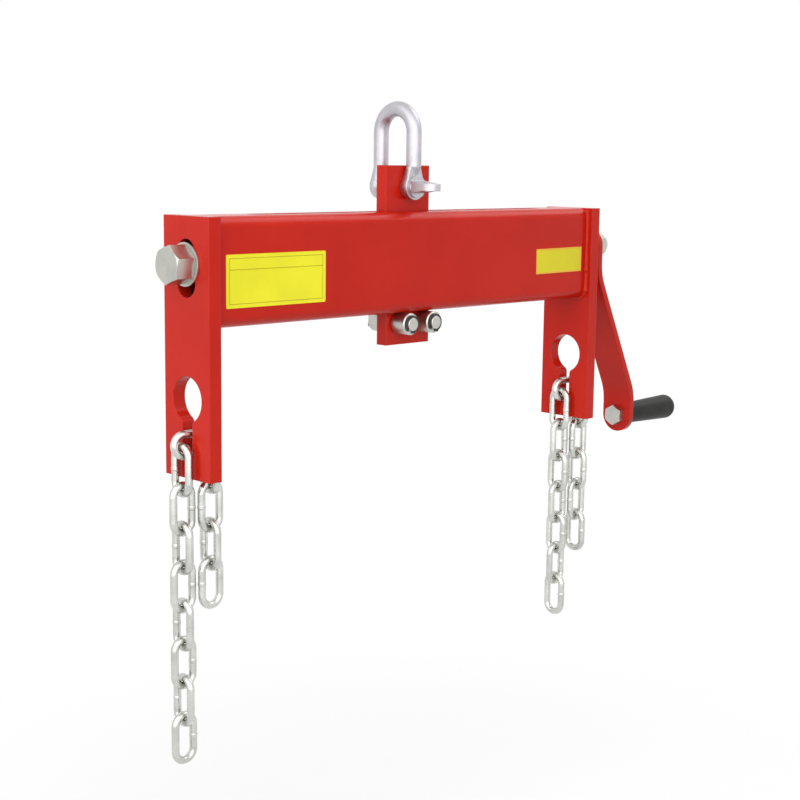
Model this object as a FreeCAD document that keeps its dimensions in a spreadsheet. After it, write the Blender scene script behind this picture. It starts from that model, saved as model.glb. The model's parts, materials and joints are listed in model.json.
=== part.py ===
import FreeCAD, Part
import math
import os
import Sketcher

# Engine load leveler: a slotted beam, a screw that moves a trolley along it, a crank, a shackle
# that a hoist's hook goes into, and a lifting chain through each end plate.
# The origin is the inside of the shackle's crown, where the hook bears. +X runs along the beam
# to the crank and +Z points up. Lengths are in millimetres and angles in degrees.

SIZES = {
    # Beam: a rectangular tube between two end plates
    "beam_length": 415,
    "tube_height": 76,
    "tube_depth": 40,
    "tube_wall": 3,
    "tube_corner": 8,
    "tube_slot_length": 306,
    "tube_slot_width": 11,
    "tube_slot_corner_share": 0.4,
    "plate_width": 50,
    "plate_thick": 10,
    "plate_height": 180,
    "screw_slot_width": 20,
    "screw_slot_top": 15.3,
    "screw_slot_height": 40,
    "keyhole_depth": 125,
    "keyhole_radius": 16,
    "keyhole_slot_width": 11,
    "keyhole_margin": 11,
    "keyhole_mouth_radius": 4,
    "weld_leg": 4,
    "weld_angle": 44,
    "label_thick": 0.3,
    "left_label_length": 90,
    "left_label_height": 36.6,
    "left_label_inset": 18.2,
    "left_label_depth": 25.8,
    "right_label_length": 58,
    "right_label_height": 20.5,
    "right_label_inset": 17,
    "right_label_depth": 32.5,
    "right_label_tilt": 0.5,
    # Screw: hex head at the left plate, collar nut and crank at the right plate
    "screw_depth": 32.6,
    "screw_radius": 8,
    "screw_flats": 24,
    "screw_head_height": 14.8,
    "screw_head_turn": 10,
    "washer_radius": 15,
    "left_washer_thick": 1.6,
    "right_washer_thick": 3,
    "collar_height": 10.2,
    "stud_radius": 7,
    "stud_length": 21.5,
    "crank_washer_radius": 14,
    "crank_washer_thick": 2.5,
    "crank_nut_flats": 21,
    "crank_nut_height": 8.4,
    "crank_nut_collar": 4.4,
    "crank_nut_collar_radius": 9.8,
    "crank_nut_tip_radius": 8.3,
    "end_play": 0.1,
    "hex_chamfer_angle": 30,
    # Crank arm: a flat bar with two bends
    "crank_radius": 154.6,
    "arm_width": 30,
    "arm_thick": 5,
    "arm_offset": 52.5,
    "arm_upper_drop": 25,
    "arm_lower_rise": 22,
    "arm_bend_radius": 42,
    # Grip: a tapered sleeve that spins on a shoulder bolt
    "grip_length": 66,
    "grip_near_radius": 9,
    "grip_far_radius": 11,
    "grip_dome": 9,
    "grip_recess_radius": 8.2,
    "grip_recess_depth": 14,
    "grip_cap_plug": 3,
    "grip_head_flats": 16,
    "grip_head_height": 6.4,
    "grip_bolt_radius": 5,
    "grip_thread_radius": 4,
    "grip_nut_height": 6.5,
    "small_flats": 13,
    # Trolley: hanger plate, threaded block and roller plate
    "trolley_offset": 2.5,
    "hanger_width": 46,
    "hanger_thick": 10,
    "hanger_rise": 34.5,
    "roller_plate_drop": 25.4,
    "roller_plate_shift": 1.8,
    "block_width": 30,
    "block_height": 30,
    "block_weld_leg": 3.5,
    "block_weld_tip_share": 0.12,
    "roller_radius": 8.3,
    "roller_length": 14.6,
    "roller_spacing": 25,
    "roller_shift": 3.8,
    "roller_edge": 0.8,
    "roller_pin_radius": 5,
    "roller_pin_end": 1,
    "roller_pin_bevel": 0.4,
    "clip_radius": 6.8,
    "clip_thick": 1,
    "clip_groove": 0.3,
    "clip_mouth": 4.4,
    "clip_lug_radius": 1.5,
    "clip_lug_hole": 0.7,
    "front_clip_turn": -20,
    "rear_clip_turn": -95,
    # Shackle
    "bow_height": 52.5,
    "bow_wire_radius": 5.75,
    "jaw_gap": 24,
    "ear_radius": 10,
    "ear_thick": 8.2,
    "ear_neck": 15,
    "pin_inset": 16,
    "pin_radius": 6,
    "pin_tail": 1.5,
    "pin_collar_radius": 8.4,
    "pin_collar_thick": 2.6,
    "pin_tab_length": 20.5,
    "pin_tab_width": 16,
    "pin_tab_thick": 9.4,
    "pin_tab_tip": 5.4,
    "pin_eye_radius": 3.5,
    # Chains
    "link_wire_radius": 2.75,
    "link_inner_length": 27.8,
    "link_outer_width": 21,
    "strand_angle": 13,
    "slot_link_yaw": -10,
    "slot_link_lift": 2.1,
    "slot_link_shift": 1,
    "slot_link_aside": 1.6,
    # Clearances
    "running_gap": 0.3,
    "bore_gap": 0.1,
    "overrun": 5,
}

# Places that follow from the sizes, each worked out once
PLACES = {
    "mid_y": "-(jaw_gap - hanger_thick) / 2 + running_gap",
    "pin_z": "-bow_height",
    "hanger_top": "pin_z + pin_inset",
    "beam_top": "hanger_top - hanger_rise",
    "tube_bottom": "beam_top - tube_height",
    "plate_bottom": "beam_top - plate_height",
    "screw_z": "beam_top - screw_depth",
    "left_face": "trolley_offset - beam_length / 2",
    "right_face": "trolley_offset + beam_length / 2",
    "head_x": "left_face - 2 * end_play - left_washer_thick",
    "collar_x": "right_face + 2 * end_play + right_washer_thick",
    "shoulder_x": "collar_x + collar_height",
    "grip_z": "screw_z - crank_radius",
    "grip_x": "shoulder_x + arm_thick + arm_offset",
    "roller_z": "tube_bottom - running_gap - roller_radius",
    "roller_plate_bottom": "tube_bottom - roller_plate_drop",
    "roller_near": "hanger_thick / 2 + running_gap",
    "roller_far": "roller_near + roller_length + running_gap",
    "bow_radius": "jaw_gap / 2 + bow_wire_radius",
    "ear_face": "jaw_gap / 2 + ear_thick",
    "link_bow_radius": "link_outer_width / 2 - link_wire_radius",
    "link_straight": "link_inner_length - 2 * (link_bow_radius - link_wire_radius)",
    "link_pitch": "link_inner_length - running_gap",
    "slot_link_y": "mid_y - slot_link_aside",
    "slot_link_z": "plate_bottom + keyhole_margin + slot_link_lift + link_outer_width / 2",
    "link_seat": "link_bow_radius - 2 * link_wire_radius - running_gap",
    "strand_reach": "link_straight / 2 + link_seat * cos(strand_angle)",
    "strand_sink": "link_seat * sin(strand_angle)",
    "first_link_z": "slot_link_z - strand_sink - link_inner_length / 2 - link_wire_radius",
}

LEFT_OUTER_LINKS = 8
LEFT_INNER_LINKS = 4
RIGHT_INNER_LINKS = 7
RIGHT_OUTER_LINKS = 5

ALONG_X = FreeCAD.Rotation(FreeCAD.Vector(0, 1, 0), 90)
AGAINST_X = FreeCAD.Rotation(FreeCAD.Vector(0, -1, 0), 90)
ALONG_Y = FreeCAD.Rotation(FreeCAD.Vector(1, 0, 0), -90)
UPRIGHT = FreeCAD.Rotation()

doc = FreeCAD.newDocument("load_leveler")
sheet = doc.addObject("Spreadsheet::Sheet", "dim")
nodes = []


def fill_sheet():
    """Give every size and every derived place a cell with an alias."""
    row = 0
    for alias, number in SIZES.items():
        row += 1
        sheet.set(f"A{row}", alias)
        sheet.set(f"B{row}", str(number))
        sheet.setAlias(f"B{row}", alias)
    doc.recompute()
    for alias, formula in PLACES.items():
        row += 1
        sheet.set(f"A{row}", alias)
        sheet.set(f"B{row}", f"={formula}")
        sheet.setAlias(f"B{row}", alias)
        doc.recompute()


def number(formula):
    """The value that a formula in the sheet's aliases has now."""
    return float(sheet.evalExpression(formula))


def bind(piece, **formulas):
    for name, formula in formulas.items():
        piece.setExpression(name, formula)
    return piece


def put(piece, x="0", y="0", z="0", turn=UPRIGHT):
    """Turn a piece and bind its place."""
    piece.Placement = FreeCAD.Placement(FreeCAD.Vector(), turn)
    for letter, formula in (("x", x), ("y", y), ("z", z)):
        piece.setExpression(f"Placement.Base.{letter}", formula)
    return piece


def box(name, length, width, height, **place):
    piece = doc.addObject("Part::Box", name)
    bind(piece, Length=length, Width=width, Height=height)
    return put(piece, **place)


def rod(name, radius, length, **place):
    piece = doc.addObject("Part::Cylinder", name)
    bind(piece, Radius=radius, Height=length)
    return put(piece, **place)


def cone(name, start_radius, end_radius, length, **place):
    piece = doc.addObject("Part::Cone", name)
    bind(piece, Radius1=start_radius, Radius2=end_radius, Height=length)
    return put(piece, **place)


def join(name, pieces):
    result = doc.addObject("Part::MultiFuse", name)
    result.Shapes = pieces
    result.Refine = True
    return result


def cut(name, base, tools):
    result = doc.addObject("Part::Cut", name)
    result.Base = base
    result.Tool = tools[0] if len(tools) == 1 else join(f"{name}_tools", tools)
    result.Refine = True
    return result


def keep(piece, label):
    """Mark a finished piece as a node of its own."""
    piece.Label = label
    nodes.append(piece)
    return piece


def hexagon(name, flats, height, x, y, z, turn, both_faces):
    """A hex head or nut whose corners are chamfered at its far face, or at both."""
    prism = doc.addObject("Part::Prism", f"{name}_prism")
    prism.Polygon = 6
    bind(prism, Circumradius=f"{flats} / 2 / cos(180 / 6)", Height=height)
    put(prism, x=x, y=y, z=z, turn=turn)
    wide = f"{flats} / 2 + {height} / tan(dim.hex_chamfer_angle)"
    tip = cone(f"{name}_tip", wide, f"{flats} / 2", height, x=x, y=y, z=z, turn=turn)
    result = doc.addObject("Part::Common", f"{name}_hex")
    result.Base = prism
    result.Tool = tip
    if not both_faces:
        return result
    root = cone(f"{name}_root", f"{flats} / 2", wide, height, x=x, y=y, z=z, turn=turn)
    nut = doc.addObject("Part::Common", f"{name}_nut")
    nut.Base = result
    nut.Tool = root
    return nut


def new_body(label, x, y, z):
    body = doc.addObject("PartDesign::Body", f"{label}_body")
    put(body, x=x, y=y, z=z)
    return keep(body, label)


def new_sketch(body, plane, name):
    sketch = body.newObject("Sketcher::SketchObject", name)
    support = next(item for item in body.Origin.OriginFeatures if item.Role == plane)
    sketch.AttachmentSupport = [(support, "")]
    sketch.MapMode = "FlatFace"
    return sketch


def dimension(sketch, kind, places, formula):
    """Add a driving dimension bound to a formula."""
    index = sketch.addConstraint(Sketcher.Constraint(kind, *places, number(formula)))
    sketch.setExpression(f"Constraints[{index}]", formula)


def line(sketch, start, end):
    return sketch.addGeometry(Part.LineSegment(FreeCAD.Vector(*start), FreeCAD.Vector(*end)))


def arc(sketch, centre, radius, start_angle, end_angle):
    circle = Part.Circle(FreeCAD.Vector(*centre), FreeCAD.Vector(0, 0, 1), radius)
    return sketch.addGeometry(
        Part.ArcOfCircle(circle, math.radians(start_angle), math.radians(end_angle))
    )


def constrain(sketch, kind, *places):
    sketch.addConstraint(Sketcher.Constraint(kind, *places))


def rounded_rectangle(sketch, width, height, radius):
    """A rectangle about the sketch's origin with four equal round corners."""
    half_w = number(width) / 2
    half_h = number(height) / 2
    r = number(radius)
    bottom = line(sketch, (r - half_w, -half_h), (half_w - r, -half_h))
    right = line(sketch, (half_w, r - half_h), (half_w, half_h - r))
    top = line(sketch, (half_w - r, half_h), (r - half_w, half_h))
    left = line(sketch, (-half_w, half_h - r), (-half_w, r - half_h))
    corners = [
        arc(sketch, (half_w - r, r - half_h), r, 270, 360),
        arc(sketch, (half_w - r, half_h - r), r, 0, 90),
        arc(sketch, (r - half_w, half_h - r), r, 90, 180),
        arc(sketch, (r - half_w, r - half_h), r, 180, 270),
    ]
    sides = [bottom, right, top, left]
    for index, corner in enumerate(corners):
        constrain(sketch, "Tangent", sides[index], 2, corner, 1)
        constrain(sketch, "Tangent", corner, 2, sides[(index + 1) % len(sides)], 1)
        if index:
            constrain(sketch, "Equal", corners[0], corner)
    for side in (bottom, top):
        constrain(sketch, "Horizontal", side)
    for side in (left, right):
        constrain(sketch, "Vertical", side)
    constrain(sketch, "Symmetric", bottom, 1, top, 1, -1, 1)
    dimension(sketch, "DistanceX", (left, 1, right, 1), width)
    dimension(sketch, "DistanceY", (bottom, 1, top, 1), height)
    dimension(sketch, "Radius", (corners[0],), radius)


def rectangle(sketch, width, above, below):
    """A rectangle centred across the sketch, from above its origin to below it."""
    half_w = number(width) / 2
    high = number(above)
    low = -number(below)
    bottom = line(sketch, (-half_w, low), (half_w, low))
    right = line(sketch, (half_w, low), (half_w, high))
    top = line(sketch, (half_w, high), (-half_w, high))
    left = line(sketch, (-half_w, high), (-half_w, low))
    sides = [bottom, right, top, left]
    for index, side in enumerate(sides):
        constrain(sketch, "Coincident", side, 2, sides[(index + 1) % len(sides)], 1)
        constrain(sketch, "Vertical" if index % 2 else "Horizontal", side)
    dimension(sketch, "DistanceX", (bottom, 1, -1, 1), f"({width}) / 2")
    dimension(sketch, "DistanceX", (bottom, 1, bottom, 2), width)
    if low > 0:
        dimension(sketch, "DistanceY", (-1, 1, bottom, 1), f"-({below})")
    else:
        dimension(sketch, "DistanceY", (bottom, 1, -1, 1), below)
    dimension(sketch, "DistanceY", (bottom, 1, top, 1), f"{below} + {above}")


def upright_slot(sketch, radius, upper, lower):
    """A slot down the sketch's middle, with its round ends centred that far below the origin."""
    r = number(radius)
    high = -number(upper)
    low = -number(lower)
    crown = arc(sketch, (0, high), r, 0, 180)
    left = line(sketch, (-r, high), (-r, low))
    foot = arc(sketch, (0, low), r, 180, 360)
    right = line(sketch, (r, low), (r, high))
    for first, second in ((crown, left), (left, foot), (foot, right), (right, crown)):
        constrain(sketch, "Tangent", first, 2, second, 1)
    constrain(sketch, "Vertical", left)
    constrain(sketch, "PointOnObject", crown, 3, -2)
    constrain(sketch, "PointOnObject", foot, 3, -2)
    dimension(sketch, "Radius", (crown,), radius)
    dimension(sketch, "DistanceY", (crown, 3, -1, 1), upper)
    dimension(sketch, "DistanceY", (foot, 3, crown, 3), f"{lower} - ({upper})")


def keyhole(sketch, radius, depth, slot_width, foot_depth):
    """A round hole with a narrower slot below it that ends in a half circle."""
    big = number(radius)
    small = number(slot_width) / 2
    centre_y = -number(depth)
    foot_y = -number(foot_depth)
    flare = math.degrees(math.asin(small / big))
    mouth_y = centre_y - math.sqrt(big**2 - small**2)
    hole = arc(sketch, (0, centre_y), big, flare - 90, 270 - flare)
    left = line(sketch, (-small, mouth_y), (-small, foot_y))
    foot = arc(sketch, (0, foot_y), small, 180, 360)
    right = line(sketch, (small, foot_y), (small, mouth_y))
    constrain(sketch, "Coincident", hole, 2, left, 1)
    constrain(sketch, "Tangent", left, 2, foot, 1)
    constrain(sketch, "Tangent", foot, 2, right, 1)
    constrain(sketch, "Coincident", right, 2, hole, 1)
    constrain(sketch, "Vertical", left)
    constrain(sketch, "Vertical", right)
    constrain(sketch, "PointOnObject", hole, 3, -2)
    constrain(sketch, "PointOnObject", foot, 3, -2)
    dimension(sketch, "Radius", (hole,), radius)
    dimension(sketch, "Radius", (foot,), f"{slot_width} / 2")
    dimension(sketch, "DistanceY", (hole, 3, -1, 1), depth)
    dimension(sketch, "DistanceY", (foot, 3, -1, 1), foot_depth)


def circle_at(sketch, radius, depth):
    """A circle centred that far below the sketch's origin."""
    start = Part.Circle(FreeCAD.Vector(0, -number(depth), 0), FreeCAD.Vector(0, 0, 1), number(radius))
    index = sketch.addGeometry(start)
    constrain(sketch, "PointOnObject", index, 3, -2)
    dimension(sketch, "Radius", (index,), radius)
    if number(depth):
        dimension(sketch, "DistanceY", (index, 3, -1, 1), depth)
    else:
        constrain(sketch, "PointOnObject", index, 3, -1)


def pad(body, sketch, length, symmetric=False):
    feature = body.newObject("PartDesign::Pad", f"{sketch.Name}_pad")
    feature.Profile = sketch
    feature.SideType = "Symmetric" if symmetric else "One side"
    bind(feature, Length=length)
    doc.recompute()
    return feature


def pocket_through(body, sketch):
    """Cut a sketch through the whole body, to both sides of its plane."""
    before = body.Shape.Volume
    feature = body.newObject("PartDesign::Pocket", f"{sketch.Name}_pocket")
    feature.Profile = sketch
    feature.Type = "ThroughAll"
    feature.SideType = "Symmetric"
    doc.recompute()
    if body.Shape.Volume >= before:
        raise RuntimeError(f"{sketch.Name} cuts nothing")
    return feature


def make_beam_tube():
    body = new_body(
        "beam_tube", "dim.trolley_offset", "dim.mid_y", "dim.beam_top - dim.tube_height / 2"
    )
    profile = new_sketch(body, "YZ_Plane", "tube_profile")
    rounded_rectangle(profile, "dim.tube_depth", "dim.tube_height", "dim.tube_corner")
    rounded_rectangle(
        profile,
        "dim.tube_depth - 2 * dim.tube_wall",
        "dim.tube_height - 2 * dim.tube_wall",
        "dim.tube_corner - dim.tube_wall",
    )
    pad(body, profile, "dim.beam_length - 2 * dim.plate_thick", symmetric=True)
    slots = new_sketch(body, "XY_Plane", "tube_slots")
    rounded_rectangle(
        slots,
        "dim.tube_slot_length",
        "dim.tube_slot_width",
        "dim.tube_slot_width * dim.tube_slot_corner_share",
    )
    pocket_through(body, slots)


def make_end_plate(side, x):
    body = new_body(f"{side}_end_plate", x, "dim.mid_y", "dim.beam_top")
    profile = new_sketch(body, "YZ_Plane", f"{side}_plate_profile")
    rectangle(profile, "dim.plate_width", "0", "dim.plate_height")
    upright_slot(
        profile,
        "dim.screw_slot_width / 2",
        "dim.screw_slot_top + dim.screw_slot_width / 2",
        "dim.screw_slot_top + dim.screw_slot_height - dim.screw_slot_width / 2",
    )
    keyhole(
        profile,
        "dim.keyhole_radius",
        "dim.keyhole_depth",
        "dim.keyhole_slot_width",
        "dim.plate_height - dim.keyhole_margin - dim.keyhole_slot_width / 2",
    )
    plate = pad(body, profile, "dim.plate_thick")
    mouth = body.newObject("PartDesign::Fillet", f"{side}_keyhole_mouth")
    mouth.Base = (plate, mouth_edges(body.Shape))
    bind(mouth, Radius="dim.keyhole_mouth_radius")
    doc.recompute()


def mouth_edges(shape):
    """Names of the two edges where a plate's slot runs into its round hole."""
    half_slot = number("dim.keyhole_slot_width / 2")
    names = []
    for index, edge in enumerate(shape.Edges, start=1):
        bounds = edge.BoundBox
        through = bounds.XLength > bounds.YLength + bounds.ZLength
        drop = number("dim.beam_top - dim.keyhole_depth") - bounds.Center.z
        beside_slot = math.isclose(abs(bounds.Center.y - number("dim.mid_y")), half_slot)
        if through and beside_slot and 0 < drop < number("dim.keyhole_radius"):
            names.append(f"Edge{index}")
    return names


def make_weld(side, x, inward):
    """A fillet bead down the front, across the bottom and up the back of the tube's end."""
    body = new_body(f"{side}_weld", x, "dim.mid_y", "dim.beam_top - dim.tube_height / 2")
    outline = new_sketch(body, "YZ_Plane", f"{side}_weld_outline")
    rounded_rectangle(
        outline,
        "dim.tube_depth + 2 * dim.weld_leg",
        "dim.tube_height + 2 * dim.weld_leg",
        "dim.tube_corner + dim.weld_leg",
    )
    bead = pad(body, outline, "dim.weld_leg")
    bead.Reversed = inward < 0
    bind(bead, TaperAngle="-dim.weld_angle")
    seat = new_sketch(body, "YZ_Plane", f"{side}_weld_seat")
    rounded_rectangle(seat, "dim.tube_depth", "dim.tube_height", "dim.tube_corner")
    pocket_through(body, seat)
    top = new_sketch(body, "YZ_Plane", f"{side}_weld_top")
    rectangle(
        top,
        "dim.tube_depth + 2 * dim.weld_leg + 2 * dim.overrun",
        "dim.tube_height / 2 + dim.weld_leg + dim.overrun",
        "dim.tube_corner - dim.tube_height / 2",
    )
    pocket_through(body, top)


def make_labels():
    front = "dim.mid_y - dim.tube_depth / 2 - dim.label_thick"
    left = box(
        "left_label_sheet",
        "dim.left_label_length",
        "dim.label_thick",
        "dim.left_label_height",
        x="dim.left_face + dim.left_label_inset",
        y=front,
        z="dim.beam_top - dim.left_label_depth - dim.left_label_height",
    )
    keep(left, "left_label")
    right = box(
        "right_label_sheet",
        "dim.right_label_length",
        "dim.label_thick",
        "dim.right_label_height",
        x="dim.right_face - dim.right_label_inset - dim.right_label_length",
        y=front,
        z="dim.beam_top - dim.right_label_depth - dim.right_label_height",
        turn=FreeCAD.Rotation(FreeCAD.Vector(0, -1, 0), SIZES["right_label_tilt"]),
    )
    right.setExpression("Placement.Rotation.Angle", "dim.right_label_tilt")
    keep(right, "right_label")


def on_screw(x):
    return {"x": x, "y": "dim.mid_y", "z": "dim.screw_z", "turn": ALONG_X}


def make_lead_screw():
    head = hexagon(
        "screw_head",
        "dim.screw_flats",
        "dim.screw_head_height",
        "dim.head_x",
        "dim.mid_y",
        "dim.screw_z",
        AGAINST_X * FreeCAD.Rotation(FreeCAD.Vector(0, 0, -1), SIZES["screw_head_turn"]),
        both_faces=False,
    )
    shank = rod(
        "screw_shank", "dim.screw_radius", "dim.shoulder_x - dim.head_x", **on_screw("dim.head_x")
    )
    stud = rod("screw_stud", "dim.stud_radius", "dim.stud_length", **on_screw("dim.shoulder_x"))
    keep(join("lead_screw_whole", [head, shank, stud]), "lead_screw")


def make_washer(label, radius, bore, thick, x):
    disc = rod(f"{label}_disc", radius, thick, **on_screw(x))
    hole = rod(
        f"{label}_hole",
        f"{bore} + dim.bore_gap",
        f"{thick} + 2 * dim.overrun",
        **on_screw(f"{x} - dim.overrun"),
    )
    keep(cut(f"{label}_ring", disc, [hole]), label)


def make_screw_nut(label, flats, bore, height, x):
    blank = hexagon(
        label, flats, height, x, "dim.mid_y", "dim.screw_z", ALONG_X, both_faces=True
    )
    hole = rod(
        f"{label}_hole",
        f"{bore} + dim.bore_gap / 2",
        f"{height} + 2 * dim.overrun",
        **on_screw(f"{x} - dim.overrun"),
    )
    keep(cut(f"{label}_ring", blank, [hole]), label)


def make_lock_nut(x):
    """The crank's nut: a hexagon with a tapered locking collar beyond it."""
    blank = hexagon(
        "crank_nut",
        "dim.crank_nut_flats",
        "dim.crank_nut_height",
        x,
        "dim.mid_y",
        "dim.screw_z",
        ALONG_X,
        both_faces=True,
    )
    collar = cone(
        "crank_nut_taper",
        "dim.crank_nut_collar_radius",
        "dim.crank_nut_tip_radius",
        "dim.crank_nut_collar",
        **on_screw(f"{x} + dim.crank_nut_height"),
    )
    hole = rod(
        "crank_nut_hole",
        "dim.stud_radius + dim.bore_gap / 2",
        "dim.crank_nut_height + dim.crank_nut_collar + 2 * dim.overrun",
        **on_screw(f"{x} - dim.overrun"),
    )
    keep(cut("crank_nut_ring", join("crank_nut_blank", [blank, collar]), [hole]), "crank_nut")


def make_screw_fittings():
    make_washer(
        "left_washer",
        "dim.washer_radius",
        "dim.screw_radius",
        "dim.left_washer_thick",
        "dim.left_face - dim.end_play - dim.left_washer_thick",
    )
    make_washer(
        "right_washer",
        "dim.washer_radius",
        "dim.screw_radius",
        "dim.right_washer_thick",
        "dim.right_face + dim.end_play",
    )
    make_screw_nut(
        "collar_nut", "dim.screw_flats", "dim.screw_radius", "dim.collar_height", "dim.collar_x"
    )
    make_washer(
        "crank_washer",
        "dim.crank_washer_radius",
        "dim.stud_radius",
        "dim.crank_washer_thick",
        "dim.shoulder_x + dim.arm_thick",
    )
    make_lock_nut("dim.shoulder_x + dim.arm_thick + dim.crank_washer_thick")


def arm_side_outline(sketch):
    """The arm seen from the front: upright at the screw, leaning out, upright at the grip."""
    thick = number("dim.arm_thick")
    shift = number("dim.arm_offset")
    crown = number("dim.arm_width") / 2
    bend = -number("dim.arm_upper_drop")
    knee = number("dim.arm_lower_rise") - number("dim.crank_radius")
    foot = -number("dim.crank_radius") - crown
    lean = math.atan2(shift, bend - knee)
    miter = thick * math.tan(lean / 2)
    corners = [
        (0, crown),
        (thick, crown),
        (thick, bend),
        (thick + shift, knee),
        (thick + shift, foot),
        (shift, foot),
        (shift, knee - miter),
        (0, bend - miter),
    ]
    sides = [
        line(sketch, corner, corners[(index + 1) % len(corners)])
        for index, corner in enumerate(corners)
    ]
    top, outer_upper, outer_slope, outer_lower, bottom, inner_lower, inner_slope, inner_upper = sides
    for index, side in enumerate(sides):
        constrain(sketch, "Coincident", side, 2, sides[(index + 1) % len(sides)], 1)
    for side in (top, bottom):
        constrain(sketch, "Horizontal", side)
    for side in (outer_upper, outer_lower, inner_lower, inner_upper):
        constrain(sketch, "Vertical", side)
    constrain(sketch, "PointOnObject", top, 1, -2)
    constrain(sketch, "Parallel", outer_slope, inner_slope)
    dimension(sketch, "DistanceY", (-1, 1, top, 1), "dim.arm_width / 2")
    dimension(sketch, "DistanceX", (top, 1, top, 2), "dim.arm_thick")
    dimension(sketch, "DistanceX", (bottom, 2, bottom, 1), "dim.arm_thick")
    dimension(sketch, "Distance", (inner_slope, 1, outer_slope), "dim.arm_thick")
    dimension(sketch, "DistanceY", (outer_upper, 2, -1, 1), "dim.arm_upper_drop")
    dimension(sketch, "DistanceX", (outer_upper, 2, outer_lower, 1), "dim.arm_offset")
    dimension(
        sketch, "DistanceY", (outer_lower, 1, -1, 1), "dim.crank_radius - dim.arm_lower_rise"
    )
    dimension(sketch, "DistanceY", (bottom, 1, -1, 1), "dim.crank_radius + dim.arm_width / 2")


def bend_edges(shape):
    """Names of the edges across the arm's two bends."""
    high = -number("dim.arm_upper_drop") / 2
    low = -number("dim.crank_radius")
    names = []
    for index, edge in enumerate(shape.Edges, start=1):
        box_of_edge = edge.BoundBox
        across = box_of_edge.YLength > box_of_edge.XLength + box_of_edge.ZLength
        if across and low < box_of_edge.Center.z - number("dim.screw_z") < high:
            names.append(f"Edge{index}")
    return names


def make_crank_arm():
    body = new_body("crank_arm", "dim.shoulder_x", "dim.mid_y", "dim.screw_z")
    side = new_sketch(body, "XZ_Plane", "arm_side")
    arm_side_outline(side)
    strip = pad(body, side, "dim.arm_width", symmetric=True)
    bends = body.newObject("PartDesign::Fillet", "arm_bends")
    bends.Base = (strip, bend_edges(body.Shape))
    bind(bends, Radius="dim.arm_bend_radius")
    doc.recompute()
    ends = new_sketch(body, "YZ_Plane", "arm_ends")
    rectangle(
        ends,
        "dim.arm_width + 2 * dim.overrun",
        "dim.arm_width / 2 + dim.overrun",
        "dim.crank_radius + dim.arm_width / 2 + dim.overrun",
    )
    upright_slot(ends, "dim.arm_width / 2", "0", "dim.crank_radius")
    circle_at(ends, "dim.stud_radius + dim.bore_gap", "0")
    circle_at(ends, "dim.grip_bolt_radius + dim.bore_gap", "dim.crank_radius")
    pocket_through(body, ends)


def on_grip(x):
    return {"x": x, "y": "dim.mid_y", "z": "dim.grip_z", "turn": ALONG_X}


def make_grip():
    """A tapered sleeve between the arm and a nut in its far end, closed by a domed cap."""
    sleeve_x = "dim.grip_x + dim.running_gap"
    nut_x = "dim.grip_x + dim.grip_length - dim.grip_recess_depth + 2 * dim.running_gap"
    head = hexagon(
        "grip_head",
        "dim.grip_head_flats",
        "dim.grip_head_height",
        "dim.grip_x - dim.arm_thick",
        "dim.mid_y",
        "dim.grip_z",
        AGAINST_X,
        both_faces=False,
    )
    shoulder = rod(
        "grip_shoulder",
        "dim.grip_bolt_radius",
        f"{nut_x} - (dim.grip_x - dim.arm_thick)",
        **on_grip("dim.grip_x - dim.arm_thick"),
    )
    thread = rod(
        "grip_thread",
        "dim.grip_thread_radius",
        "dim.grip_nut_height + dim.bore_gap",
        **on_grip(nut_x),
    )
    keep(join("grip_bolt_whole", [head, shoulder, thread]), "grip_bolt")
    nut = hexagon(
        "grip_nut",
        "dim.small_flats",
        "dim.grip_nut_height",
        nut_x,
        "dim.mid_y",
        "dim.grip_z",
        ALONG_X,
        both_faces=True,
    )
    nut_hole = rod(
        "grip_nut_hole",
        "dim.grip_thread_radius + dim.bore_gap / 2",
        "dim.grip_nut_height + 2 * dim.overrun",
        **on_grip(f"{nut_x} - dim.overrun"),
    )
    keep(cut("grip_nut_ring", nut, [nut_hole]), "grip_nut")
    sleeve = cone(
        "grip_taper",
        "dim.grip_near_radius",
        "dim.grip_far_radius",
        "dim.grip_length",
        **on_grip(sleeve_x),
    )
    bore = rod(
        "grip_bore",
        "dim.grip_bolt_radius + dim.bore_gap",
        "dim.grip_length + 2 * dim.overrun",
        **on_grip(f"{sleeve_x} - dim.overrun"),
    )
    recess = rod(
        "grip_recess",
        "dim.grip_recess_radius",
        "dim.grip_recess_depth + dim.overrun",
        **on_grip(f"{sleeve_x} + dim.grip_length - dim.grip_recess_depth"),
    )
    keep(cut("grip_sleeve_shell", sleeve, [bore, recess]), "grip_sleeve")
    dome = doc.addObject("Part::Ellipsoid", "grip_dome")
    dome.Angle1 = 0
    bind(
        dome,
        Radius1="dim.grip_dome",
        Radius2="dim.grip_far_radius",
        Radius3="dim.grip_far_radius",
    )
    put(dome, **on_grip(f"{sleeve_x} + dim.grip_length"))
    plug = rod(
        "grip_plug",
        "dim.grip_recess_radius - dim.bore_gap",
        "dim.grip_cap_plug",
        **on_grip(f"{sleeve_x} + dim.grip_length - dim.grip_cap_plug"),
    )
    keep(join("grip_cap_whole", [dome, plug]), "grip_cap")


def across_beam(x, y, z):
    return {"x": x, "y": y, "z": z, "turn": ALONG_Y}


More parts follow.
